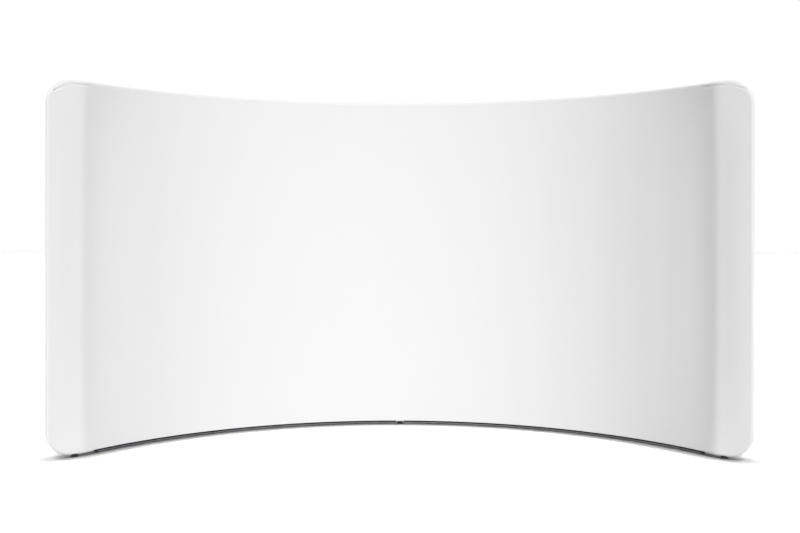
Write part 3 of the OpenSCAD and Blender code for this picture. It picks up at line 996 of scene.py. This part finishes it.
@dataclass
class ZipParts:
    """The tapes, coils and stitching of both zips."""

    curve: WallCurve
    zips: ZipRun
    coil_pitch: float = 3.0 * MM
    coil_r: float = 18.4 * MM
    coil_w: float = 3.3 * MM

    # A turn of the coil: its length in the pitch, its width over the coil's, how
    # thick it is, and its head, which starts at a share of the width and swells
    turn_l: float = 0.52
    turn_w: float = 1.12
    turn_t: float = 1.6 * MM
    turn_bevel: float = 0.45 * MM
    head_from: float = 0.3
    head_swell: float = 1.25
    # How far from the zip's middle the turns of each side stand, in coil widths
    turn_off: float = 0.48

    # The shown tape fills this share of its thickness, in the middle of it. Its
    # cord stands up inside both of its edges
    tape_share: float = 0.8
    cord: float = 0.25 * MM
    tape_step: float = 0.014
    tape_turn_step: float = math.radians(4)

    stitch_l: float = 2.6 * MM
    stitch_pitch: float = 3.4 * MM
    thread_r: float = 0.22 * MM
    thread_lift: float = 0.1 * MM

    @property
    def tape_r(self) -> float:
        """The tape's outer radius round the bottom rail."""
        return FABRIC_R + self.zips.tape_t * (1 + self.tape_share) / 2

    def under(self, along: float, turn: float, radius: float) -> Vector:
        """A point round the bottom rail, its turn measured from straight down."""
        return self.curve.place(along, radius * math.sin(turn), self.curve.rail_z - radius * math.cos(turn))

    def outwards(self, along: float, turn: float) -> Vector:
        """The direction away from the bottom rail at a turn from straight down."""
        return self.curve.axes(along)[1] * math.sin(turn) - Vector((0, 0, math.cos(turn)))

    def strip(self, side: Side, end: int) -> Object:
        """Lays one zip's tape on one panel.

        Args:
            side: The panel that it is sewn to.
            end: -1 for the left zip, 1 for the right one.

        Returns:
            The strip, not yet thickened.
        """
        rows = spread(self.zips.tape_inner, self.zips.tape_half, self.tape_turn_step)
        tail = self.zips.tail
        columns = spread(self.zips.start - tail, self.zips.finish + tail, self.tape_step)
        corded = (1, len(rows) - 2)

        def lay(i: int, j: int) -> tuple[Pair, Vector]:
            """The flat measures and the place of one point."""
            radius = self.tape_r + (self.cord if j in corded else 0.0)
            return (columns[i], rows[j] * radius), self.under(end * columns[i], side.value * rows[j], radius)

        return laid_grid(f"zip_strip_{side.name.lower()}", len(columns), len(rows), lay)

    def tape(self, side: Side) -> Object:
        """Makes the tapes sewn to one panel, a strip for each zip.

        Args:
            side: The panel.

        Returns:
            Both strips as one piece.
        """
        strips = [self.strip(side, end) for end in (-1, 1)]
        pick(strips[-1])
        strips[0].select_set(True)
        bpy.ops.object.join()
        piece = bpy.context.object
        piece.name = f"zip_tape_{side.name.lower()}"
        change_faces(piece, lambda face: face.normal.z > 0, bpy.ops.mesh.flip_normals)
        finish_sheet(piece, self.zips.tape_t * self.tape_share, BLACK_TAPE)
        return piece

    def tooth(self) -> Object:
        """Models one turn of the coil, as seen from outside.

        Returns:
            A rounded bar with a bulged head.
        """
        deselect_all()
        bpy.ops.mesh.primitive_cube_add(size=1)
        bar = bpy.context.object
        bar.scale = (self.coil_pitch * self.turn_l, self.coil_w * self.turn_w, self.turn_t)
        bpy.ops.object.transform_apply(location=True, rotation=True, scale=True)
        rounding = {"offset": self.turn_bevel, "segments": 1, "affect": "EDGES"}
        change_faces(bar, lambda face: True, lambda: bpy.ops.mesh.bevel(**rounding))
        for vertex in bar.data.vertices:
            if vertex.co.y > self.coil_w * self.head_from:
                vertex.co.x *= self.head_swell
        return bar

    def coil_places(self) -> Iterator[Matrix]:
        """Goes along both zips, the two sides of a coil half a pitch apart.

        Yields:
            A place for each turn.
        """
        pitch, stop_l = self.coil_pitch, self.zips.stop_l
        run = spread(self.zips.start + stop_l + pitch, self.zips.finish - stop_l - pitch, pitch)
        for end, side, s in product((-1, 1), (-1, 1), run):
            shift = pitch / 2 if side > 0 else 0.0
            lean = side * self.coil_w * self.turn_off / self.coil_r
            out = self.outwards(end * s, lean)
            back = self.curve.axes(end * s)[1]
            to_middle = (-side * (back - out * back.dot(out))).normalized()
            spot = self.under(end * (s + shift), lean, self.coil_r)
            yield stood(spot, to_middle.cross(out), to_middle, out)

    def coils(self) -> Object:
        """Makes both closed coils, as one piece."""
        return repeated("zip_coils", self.tooth(), self.coil_places(), SLOT_FINISH["zip_coil"])

    def stitch_places(self) -> Iterator[Matrix]:
        """Goes along the lockstitches that hold the tapes to the fabric.

        Yields:
            A place for each stitch.
        """
        lean = (self.zips.slot_half + self.zips.tape_half) / 2
        run = spread(self.zips.start, self.zips.finish, self.stitch_pitch)
        for end, side, s in product((-1, 1), (-1, 1), run):
            tangent = self.curve.axes(end * s)[0]
            out = self.outwards(end * s, side * lean)
            spot = self.under(end * s, side * lean, self.tape_r + self.thread_lift)
            yield stood(spot, tangent, out.cross(tangent), out)

    def stitching(self) -> Object:
        """Makes the rows of black stitches along the tapes, as one piece."""
        stitch = CoverSeam(self.curve, self.zips, stitch_l=self.stitch_l, thread_r=self.thread_r).model()
        return repeated("zip_tape_stitches", stitch, self.stitch_places(), BLACK_THREAD)


# ---- The whole wall ----


@dataclass
class Backwall:
    """The dressed wall: fabric made here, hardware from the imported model."""

    frame: dict
    curve: WallCurve = field(default_factory=WallCurve)
    zips: ZipRun = field(default_factory=ZipRun)

    def build(self) -> None:
        parts = ZipParts(self.curve, self.zips)
        seam = self.adopt(CoverSeam(self.curve, self.zips).build(), "stretch_fabric")
        coils = self.adopt(parts.coils(), "zip_coil", "zip_teeth")
        stitches = self.adopt(parts.stitching(), "zip_tape")
        for side in Side:
            panel = CoverPanel(self.curve, self.zips, side)
            cloth = self.adopt(panel.build(), "stretch_fabric", panel.name)
            tape = self.adopt(parts.tape(side), "zip_tape", "zip_tapes")
        self.dress_nodes()

    def adopt(self, piece: Object, slot: str, *nodes: str) -> Object:
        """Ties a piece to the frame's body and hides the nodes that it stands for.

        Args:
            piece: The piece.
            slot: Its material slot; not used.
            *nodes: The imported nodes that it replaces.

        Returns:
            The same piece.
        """
        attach(piece, "frame")
        if nodes:
            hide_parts(*nodes)
        LOG.info("%s: %d faces", piece.name, len(piece.data.polygons))
        return piece

    def dress_nodes(self) -> None:
        """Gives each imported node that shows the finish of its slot."""
        built: dict[str, Material] = {}
        slots = {part["node"]: part["material_slot"] for part in self.frame["record"]["subparts"]}
        for name, node in self.frame["nodes"].items():
            slot = slots[name]
            if node.hide_render or slot not in SLOT_FINISH:
                continue
            if slot not in built:
                built[slot] = SLOT_FINISH[slot].build()
            for holder in node.material_slots:
                holder.material = built[slot]
        LOG.info("dressed %d finishes", len(built))


@dataclass
class Studio:
    """White studio: floor, soft light and the camera."""

    # The photograph's size, and its horizon and middle in pixels
    image_px: tuple[int, int] = (800, 533)
    horizon_px: float = 233.0
    middle_px: float = 400.3
    lens_mm: float = 45.0
    sensor_mm: float = 36.0
    clip_end: float = 200.0

    # The camera stands a little to the right of the middle and is turned back
    # to it, with the small roll that the photograph has
    distance: float = 7.195
    camera_z: float = 1.369
    turned: float = math.radians(0.36)
    roll: float = 0.00165

    # The key light is wide and comes from a little to the right
    key_from: float = math.radians(6.5)
    key_height: float = math.radians(22)
    key_strength: float = 2.94
    key_spread: float = math.radians(25)

    # The back light is for the back and the flanks. It stands straight behind the
    # wall and is kept off the floor, so it meets only the front panel's rim
    back_height: float = math.radians(32)
    back_strength: float = 2.9
    back_spread: float = math.radians(40)
    sky: float = 0.05

    # The floor gives back little light, but the camera sees it raised to white. Its
    # colour has a painted contact shadow, darker within a short reach of the wall
    floor_size: float = 120.0
    floor_bounce: float = 0.15
    floor_gain: float = 2.0
    floor_strength: float = 0.5
    painted_shadow_reach: float = 0.16
    painted_shadow_depth: float = 3.0
    painted_shadow_rays: int = 16

    def build(self) -> None:
        """Sets up the whole studio."""
        self.view()
        self.light(self.floor())
        bpy.context.scene.view_settings.view_transform = "Standard"

    def view(self) -> None:
        """Adds the camera, with the photograph's framing."""
        width, height = self.image_px
        data = bpy.data.cameras.new("camera")
        data.lens = self.lens_mm
        data.sensor_width = self.sensor_mm
        data.shift_x = (width / 2 - self.middle_px) / width
        data.shift_y = (self.horizon_px - height / 2) / width
        data.clip_end = self.clip_end
        camera = bpy.data.objects.new("camera", data)
        back_y = WallCurve().back_y
        across, towards = self.distance * math.sin(self.turned), self.distance * math.cos(self.turned)
        camera.location = (across, back_y - towards, self.camera_z)
        camera.rotation_euler = (math.pi / 2, -self.roll, self.turned)
        bpy.context.scene.collection.objects.link(camera)
        bpy.context.scene.camera = camera

    def light(self, floor: Object) -> None:
        """Sets soft lights and a dim even sky that the camera sees as white.

        Args:
            floor: The floor. The back light would shine through under the wall onto
                it, so it has a weak light of its own instead.
        """
        self.lamp("key", self.key_strength, self.key_spread, self.key_height, self.key_from)
        back = self.lamp("back_light", self.back_strength, self.back_spread, self.back_height, math.pi)
        self.link_light(back, floor, "EXCLUDE")
        above = self.lamp("floor_light", self.floor_strength, 0.0, math.pi / 2, 0.0)
        above.data.use_shadow = False
        self.link_light(above, floor, "INCLUDE")
        world = bpy.data.worlds.new("studio")
        world.use_nodes = True
        tree = world.node_tree
        path = add_node(tree, "LightPath")
        rays = {0: path.outputs["Is Camera Ray"], 1: path.outputs["Is Glossy Ray"]}
        seen = add_node(tree, "Math", links=rays, operation="MAXIMUM").outputs[0]
        levels = {"To Min": self.sky, "To Max": 1.0}
        strength = add_node(tree, "MapRange", levels, {"Value": seen})
        tree.links.new(strength.outputs["Result"], tree.nodes["Background"].inputs["Strength"])
        tree.nodes["Background"].inputs["Color"].default_value = (1, 1, 1, 1)
        bpy.context.scene.world = world

    def lamp(self, name: str, strength: float, spread: float, height: float, turn: float) -> Object:
        """Adds a far soft lamp.

        Args:
            name: The lamp's name.
            strength: Its light on a face that it meets squarely, in W/m2.
            spread: The angle that it is wide, seen from the wall.
            height: Its angle above the floor.
            turn: How far it stands round from straight in front.

        Returns:
            The lamp.
        """
        data = bpy.data.lights.new(name, "SUN")
        data.energy = strength
        data.angle = spread
        lamp = bpy.data.objects.new(name, data)
        lamp.rotation_euler = (math.pi / 2 - height, 0, turn)
        bpy.context.scene.collection.objects.link(lamp)
        return lamp

    def link_light(self, lamp: Object, thing: Object, state: str) -> None:
        """Keeps a lamp's light off one object, or for it alone.

        Args:
            lamp: The lamp.
            thing: The object.
            state: EXCLUDE keeps the light off it, INCLUDE keeps it for it alone.
        """
        linked = bpy.data.collections.new(f"{lamp.name}_receivers")
        linked.objects.link(thing)
        linked.collection_objects[0].light_linking.link_state = state
        lamp.light_linking.receiver_collection = linked

    def floor(self) -> Object:
        """Makes a wide white floor.

        Returns:
            The floor. The camera sees it lit up to white, with a painted contact shadow near the wall.
        """
        deselect_all()
        bpy.ops.mesh.primitive_plane_add(size=self.floor_size)
        floor = bpy.context.object
        floor.name = "floor"
        material = bpy.data.materials.new("floor_white_with_painted_shadow")
        material.use_nodes = True
        tree = material.node_tree
        path = add_node(tree, "LightPath")
        # Painted contact shadow: ambient occlusion near the wall darkens the colour that the camera sees
        reach = {"Distance": self.painted_shadow_reach}
        near = add_node(tree, "AmbientOcclusion", reach, samples=self.painted_shadow_rays).outputs["AO"]
        shade = add_node(tree, "Math", {1: self.painted_shadow_depth}, {0: near}, operation="POWER")
        raised = {0: shade.outputs[0]}
        seen = add_node(tree, "Math", {1: self.floor_gain}, raised, operation="MULTIPLY")
        rays = {"Value": path.outputs["Is Camera Ray"], "To Max": seen.outputs[0]}
        gain = add_node(tree, "MapRange", {"To Min": self.floor_bounce}, rays).outputs["Result"]
        paint = add_node(tree, "BsdfDiffuse", links={"Color": gain})
        tree.links.new(paint.outputs["BSDF"], tree.nodes["Material Output"].inputs["Surface"])
        floor.data.materials.append(material)
        return floor


def main() -> None:
    """Builds the studio and the wall."""
    logging.basicConfig(level=logging.INFO, format="%(name)s: %(message)s")
    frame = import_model()
    Studio().build()
    Backwall(frame).build()


if __name__ == "__main__":
    main()
